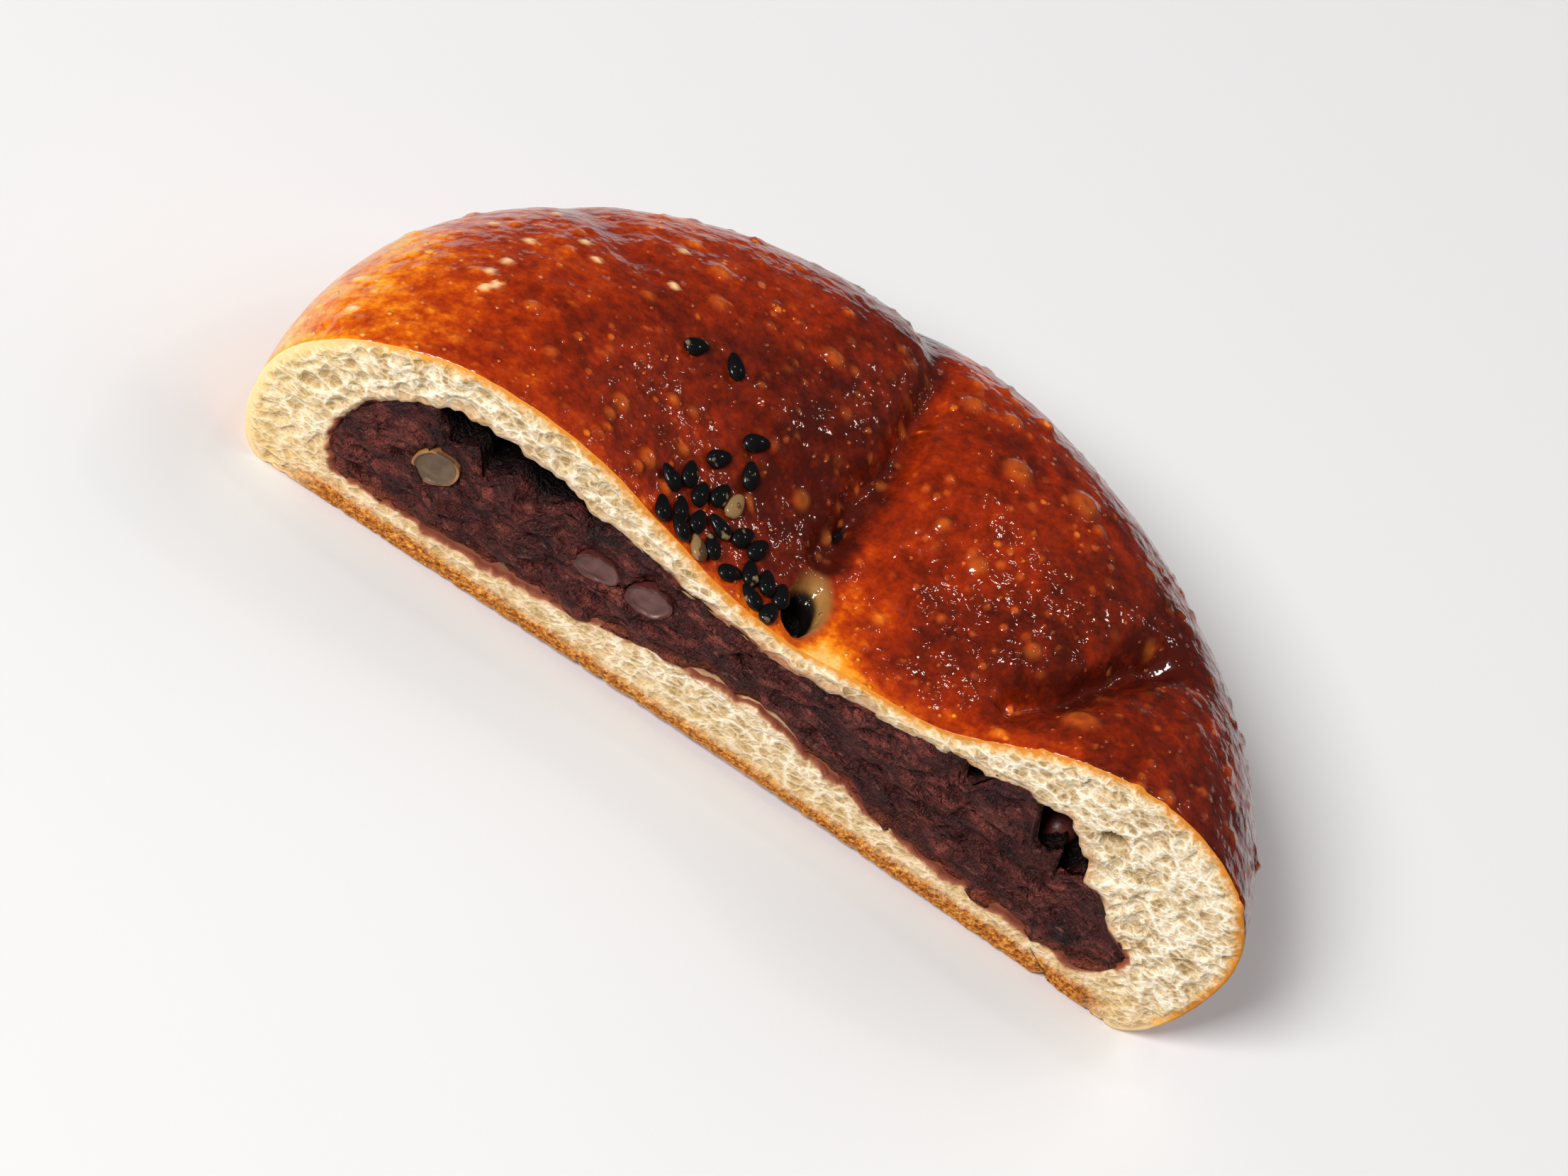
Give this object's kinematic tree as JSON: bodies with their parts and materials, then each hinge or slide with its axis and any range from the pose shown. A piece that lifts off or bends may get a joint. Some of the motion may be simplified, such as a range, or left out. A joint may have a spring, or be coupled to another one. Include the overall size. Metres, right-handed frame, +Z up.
{
  "type": "halved bean paste bun",
  "caption": "Half of a round glossy baked bun, cut to show its sweet red bean paste filling, with a dimpled crown and a patch of black sesame seeds.",
  "frame": {"origin": "on the table, under the middle of the half's bounding box", "axes": "+Z up from the flat base; +X along the cut face, to the right as one looks at it; the cut face looks along -Y"},
  "size_m": [0.112, 0.0521, 0.0294],
  "materials": {
    "baked_dough": "glazed reddish-brown crust, soft cream crumb where cut",
    "bean_paste": "moist, smeared by the knife",
    "azuki_bean": "boiled, slightly glossy skin",
    "black_sesame": "satin seed coat",
    "tan_sesame": "satin seed coat"
  },
  "bodies": {
    "root": {"dough": "baked_dough", "bean_paste": "bean_paste", "azuki_bean_1": "azuki_bean", "azuki_bean_2": "azuki_bean", "azuki_bean_3": "azuki_bean", "azuki_bean_4": "azuki_bean", "azuki_bean_5": "azuki_bean", "sesame_seed_01": "black_sesame", "sesame_seed_02": "black_sesame", "sesame_seed_03": "black_sesame", "sesame_seed_04": "black_sesame", "sesame_seed_05": "black_sesame", "sesame_seed_06": "black_sesame", "sesame_seed_07": "black_sesame", "sesame_seed_08": "black_sesame", "sesame_seed_09": "tan_sesame", "sesame_seed_10": "black_sesame", "sesame_seed_11": "black_sesame", "sesame_seed_12": "black_sesame", "sesame_seed_13": "black_sesame", "sesame_seed_14": "black_sesame", "sesame_seed_15": "black_sesame", "sesame_seed_16": "black_sesame", "sesame_seed_17": "black_sesame", "sesame_seed_18": "black_sesame", "sesame_seed_19": "black_sesame", "sesame_seed_20": "tan_sesame", "sesame_seed_21": "black_sesame", "sesame_seed_22": "black_sesame", "sesame_seed_23": "black_sesame", "sesame_seed_24": "black_sesame", "sesame_seed_25": "black_sesame"}
  },
  "joints": []
}
